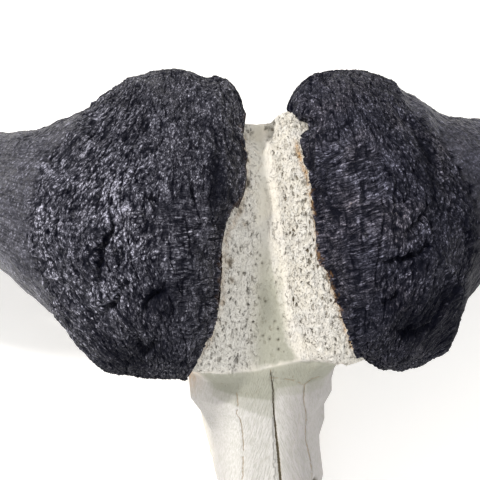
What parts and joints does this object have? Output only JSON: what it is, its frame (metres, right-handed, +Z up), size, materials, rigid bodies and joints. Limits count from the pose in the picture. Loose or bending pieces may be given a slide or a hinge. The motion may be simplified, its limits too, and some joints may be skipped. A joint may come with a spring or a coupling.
{
  "type": "cape buffalo skull",
  "caption": "Skull of a Cape buffalo bull with broad dark horn bosses that sweep down and curl up to smooth tips, pitted pale bone, without the lower jaw.",
  "frame": {"origin": "on the surface that the skull stands on, under the middle of its bounding box", "axes": "+Z up; the nose points towards -Y; +X is towards the horn on the viewer's right when the skull is seen from the front, and left and right in the names are the viewer's"},
  "size_m": [1.0144, 0.5628, 0.3606],
  "materials": {
    "bone": "dry weathered bone, cream white, rough and pitted",
    "horn": "near-black horn, rough and crumbled on the bosses, satin towards the tips",
    "tooth": "stained ivory enamel, satin"
  },
  "bodies": {
    "root": {"skull": "bone", "horn_sheath_left": "horn", "horn_sheath_right": "horn", "premolar_2_left": "tooth", "premolar_3_left": "tooth", "premolar_4_left": "tooth", "molar_1_left": "tooth", "molar_2_left": "tooth", "molar_3_left": "tooth", "premolar_2_right": "tooth", "premolar_3_right": "tooth", "premolar_4_right": "tooth", "molar_1_right": "tooth", "molar_2_right": "tooth", "molar_3_right": "tooth"}
  },
  "joints": []
}
